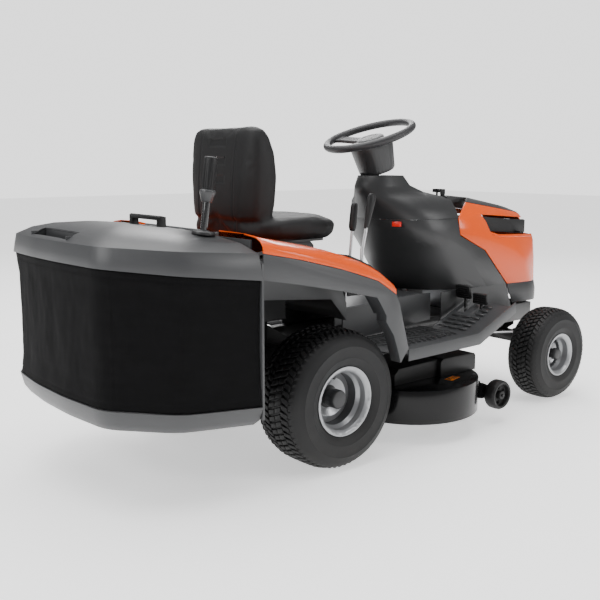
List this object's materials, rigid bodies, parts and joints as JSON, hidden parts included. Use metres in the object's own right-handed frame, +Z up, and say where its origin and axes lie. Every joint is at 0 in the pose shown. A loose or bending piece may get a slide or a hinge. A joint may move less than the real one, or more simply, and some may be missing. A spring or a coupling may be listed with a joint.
{
  "type": "riding lawn mower with rear collector",
  "caption": "Riding lawn mower with steering wheel, high-back seat, mid-mounted twin-blade deck, turf tyres and a tipping rear grass collector with fabric bag.",
  "frame": {"origin": "centre of the machine's bounding box, on the ground", "axes": "+X towards the hood, +Y to the driver's left, +Z up"},
  "size_m": [2.238, 1.014, 1.149],
  "materials": {
    "black_steel": "satin powder coat",
    "cast_alloy": "as cast",
    "black_plastic": "fine grain moulding",
    "belt_rubber": "matte, fabric backed",
    "dark_grey_plastic": "satin, fine grain",
    "mid_grey_plastic": "satin, fine grain",
    "orange_gloss": "high gloss, moulded-in colour",
    "seat_vinyl": "moulded vinyl skin over foam",
    "wheel_grip": "soft-touch, fine grain",
    "zinc_steel": "zinc plated",
    "silver_rim": "silver-grey enamel",
    "tyre_rubber": "turf tread rubber",
    "gloss_black_steel": "gloss black enamel",
    "blade_steel": "bare steel, ground edge",
    "black_fabric": "coarse woven polyester",
    "key_chrome": "plated",
    "red_plastic": "gloss"
  },
  "bodies": {
    "chassis": {"frame": "black_steel", "rear_plate": "black_steel", "transaxle": "cast_alloy", "engine_block": "cast_alloy", "engine_shroud": "black_plastic", "fuel_tank": "black_plastic", "battery": "black_plastic", "drive_belt": "belt_rubber", "discharge_tunnel": "black_plastic", "dash_tower": "dark_grey_plastic", "dash_side_panels": "dark_grey_plastic", "column_cover": "dark_grey_plastic", "footrest": "mid_grey_plastic", "fender_base": "mid_grey_plastic", "fender_cover": "orange_gloss", "lever_console": "black_plastic", "deck_belt": "belt_rubber", "seat_base": "black_steel"},
    "hood": {"hood_shell": "orange_gloss", "hood_top_panel": "dark_grey_plastic", "grille_frame": "black_plastic", "bumper_skirt": "dark_grey_plastic"},
    "seat_slider": {"seat_slider": "black_steel"},
    "seat": {"seat_pan": "black_steel", "seat_shell": "seat_vinyl"},
    "steering_wheel": {"steering_wheel": "wheel_grip", "steering_shaft": "zinc_steel"},
    "steering_sector": {"steering_sector": "zinc_steel"},
    "front_axle": {"front_axle": "black_steel"},
    "spindle_right": {"spindle_right": "black_steel"},
    "spindle_left": {"spindle_left": "black_steel"},
    "tie_rod_right": {"tie_rod_right": "zinc_steel"},
    "tie_rod_left": {"tie_rod_left": "zinc_steel"},
    "front_wheel_right": {"front_rim_right": "silver_rim", "front_tyre_right": "tyre_rubber"},
    "front_wheel_left": {"front_rim_left": "silver_rim", "front_tyre_left": "tyre_rubber"},
    "rear_wheel_right": {"rear_rim_right": "silver_rim", "rear_tyre_right": "tyre_rubber"},
    "rear_wheel_left": {"rear_rim_left": "silver_rim", "rear_tyre_left": "tyre_rubber"},
    "deck": {"deck_shell": "gloss_black_steel", "belt_cover": "black_plastic"},
    "blade_right": {"blade_right": "blade_steel"},
    "blade_left": {"blade_left": "blade_steel"},
    "gauge_wheel_right": {"gauge_wheel_right": "black_plastic"},
    "gauge_wheel_left": {"gauge_wheel_left": "black_plastic"},
    "collector": {"bag_lid": "mid_grey_plastic", "bag_fabric": "black_fabric", "bag_tray": "mid_grey_plastic", "bag_frame": "black_steel"},
    "dump_handle": {"dump_handle": "zinc_steel"},
    "height_lever": {"height_lever": "zinc_steel"},
    "blade_lever": {"blade_lever": "zinc_steel"},
    "forward_pedal": {"forward_pedal": "black_plastic"},
    "reverse_pedal": {"reverse_pedal": "black_plastic"},
    "brake_pedal": {"brake_pedal": "black_plastic"},
    "throttle_lever": {"throttle_lever": "black_plastic"},
    "ignition_key": {"ignition_key": "key_chrome"},
    "parking_brake": {"parking_brake": "red_plastic"}
  },
  "joints": [
    {"name": "steering_turn", "type": "hinge", "parent": "chassis", "child": "steering_wheel", "pos_m": [0.198, 0, 1.081], "axis": [-0.3256, 0, 0.9455], "range_deg": [-210, 210]},
    {"name": "sector_turn", "type": "hinge", "parent": "chassis", "child": "steering_sector", "pos_m": [0.5607, 0, 0.32], "axis": [0, 0, 1], "range_deg": [-36, 36]},
    {"name": "axle_roll", "type": "hinge", "parent": "chassis", "child": "front_axle", "pos_m": [0.916, 0, 0.238], "axis": [1, 0, 0], "range_deg": [-3.5, 3.5]},
    {"name": "steer_right", "type": "hinge", "parent": "front_axle", "child": "spindle_right", "pos_m": [0.916, -0.257, 0.24], "axis": [0, 0, 1], "range_deg": [-36, 36]},
    {"name": "steer_left", "type": "hinge", "parent": "front_axle", "child": "spindle_left", "pos_m": [0.916, 0.257, 0.24], "axis": [0, 0, 1], "range_deg": [-36, 36]},
    {"name": "tie_rod_right_turn", "type": "hinge", "parent": "spindle_right", "child": "tie_rod_right", "pos_m": [0.816, -0.257, 0.276], "axis": [0, 0, 1], "range_deg": [-36, 36]},
    {"name": "tie_rod_left_turn", "type": "hinge", "parent": "spindle_left", "child": "tie_rod_left", "pos_m": [0.816, 0.257, 0.276], "axis": [0, 0, 1], "range_deg": [-36, 36]},
    {"name": "front_wheel_right_spin", "type": "hinge", "parent": "spindle_right", "child": "front_wheel_right", "pos_m": [0.916, -0.345, 0.1905], "axis": [0, 1, 0], "continuous": true},
    {"name": "front_wheel_left_spin", "type": "hinge", "parent": "spindle_left", "child": "front_wheel_left", "pos_m": [0.916, 0.345, 0.1905], "axis": [0, 1, 0], "continuous": true},
    {"name": "rear_wheel_right_spin", "type": "hinge", "parent": "chassis", "child": "rear_wheel_right", "pos_m": [-0.329, -0.356, 0.2285], "axis": [0, 1, 0], "continuous": true},
    {"name": "rear_wheel_left_spin", "type": "hinge", "parent": "chassis", "child": "rear_wheel_left", "pos_m": [-0.329, 0.356, 0.2285], "axis": [0, 1, 0], "continuous": true},
    {"name": "hood_open", "type": "hinge", "parent": "chassis", "child": "hood", "pos_m": [1.056, 0, 0.384], "axis": [0, 1, 0], "range_deg": [0, 62]},
    {"name": "seat_slide", "type": "slide", "parent": "chassis", "child": "seat_slider", "axis": [1, 0, 0], "range_m": [-0.03, 0.03]},
    {"name": "seat_tip", "type": "hinge", "parent": "seat_slider", "child": "seat", "pos_m": [-0.139, 0, 0.714], "axis": [0, 1, 0], "range_deg": [0, 60]},
    {"name": "deck_height", "type": "slide", "parent": "chassis", "child": "deck", "axis": [0, 0, 1], "range_m": [-0.045, 0], "deforming": ["deck_belt"]},
    {"name": "height_lever_turn", "type": "hinge", "parent": "chassis", "child": "height_lever", "pos_m": [-0.179, -0.29, 0.56], "axis": [0, 1, 0], "range_deg": [-30, 0]},
    {"name": "blade_lever_turn", "type": "hinge", "parent": "chassis", "child": "blade_lever", "pos_m": [-0.179, -0.355, 0.56], "axis": [0, 1, 0], "range_deg": [-25, 0]},
    {"name": "blade_right_spin", "type": "hinge", "parent": "deck", "child": "blade_right", "pos_m": [0.176, -0.25, 0.12], "axis": [0, 0, 1], "continuous": true},
    {"name": "blade_left_spin", "type": "hinge", "parent": "deck", "child": "blade_left", "pos_m": [0.176, 0.25, 0.12], "axis": [0, 0, 1], "continuous": true},
    {"name": "gauge_wheel_right_spin", "type": "hinge", "parent": "deck", "child": "gauge_wheel_right", "pos_m": [0.461, -0.445, 0.11], "axis": [0, 1, 0], "continuous": true},
    {"name": "gauge_wheel_left_spin", "type": "hinge", "parent": "deck", "child": "gauge_wheel_left", "pos_m": [0.461, 0.445, 0.11], "axis": [0, 1, 0], "continuous": true},
    {"name": "collector_tip", "type": "hinge", "parent": "chassis", "child": "collector", "pos_m": [-0.672, 0, 0.77], "axis": [0, 1, 0], "range_deg": [0, 80]},
    {"name": "dump_handle_slide", "type": "slide", "parent": "collector", "child": "dump_handle", "axis": [0.1392, 0, 0.9903], "range_m": [0, 0.18]},
    {"name": "forward_pedal_press", "type": "hinge", "parent": "chassis", "child": "forward_pedal", "pos_m": [0.479, -0.262, 0.35], "axis": [0, 1, 0], "range_deg": [0, 12], "stiffness_Nm_per_rad": 6, "springref_deg": -11.46},
    {"name": "reverse_pedal_press", "type": "hinge", "parent": "chassis", "child": "reverse_pedal", "pos_m": [0.479, -0.33, 0.35], "axis": [0, 1, 0], "range_deg": [0, 10], "stiffness_Nm_per_rad": 6, "springref_deg": -11.46},
    {"name": "brake_pedal_press", "type": "hinge", "parent": "chassis", "child": "brake_pedal", "pos_m": [0.479, 0.28, 0.35], "axis": [0, 1, 0], "range_deg": [0, 14], "stiffness_Nm_per_rad": 10, "springref_deg": -11.46},
    {"name": "throttle_move", "type": "hinge", "parent": "chassis", "child": "throttle_lever", "pos_m": [0.571, -0.02, 0.812], "axis": [0, 1, 0], "range_deg": [-15, 15]},
    {"name": "key_turn", "type": "hinge", "parent": "chassis", "child": "ignition_key", "pos_m": [0.539, -0.078, 0.84], "axis": [0, 0, 1], "range_deg": [-60, 0]},
    {"name": "parking_brake_push", "type": "slide", "parent": "chassis", "child": "parking_brake", "axis": [0.8829, 0.4695, 0], "range_m": [0, 0.008]}
  ],
  "couplings": [
    {"joint": "sector_turn", "follows": "steering_turn", "ratio": 0.16667},
    {"joint": "steer_right", "follows": "steering_turn", "ratio": 0.16667},
    {"joint": "steer_left", "follows": "steering_turn", "ratio": 0.16667},
    {"joint": "tie_rod_right_turn", "follows": "steering_turn", "ratio": -0.16667},
    {"joint": "tie_rod_left_turn", "follows": "steering_turn", "ratio": -0.16667},
    {"joint": "height_lever_turn", "follows": "deck_height", "rad_per_m": 11.636},
    {"joint": "blade_left_spin", "follows": "blade_right_spin", "ratio": 1}
  ]
}
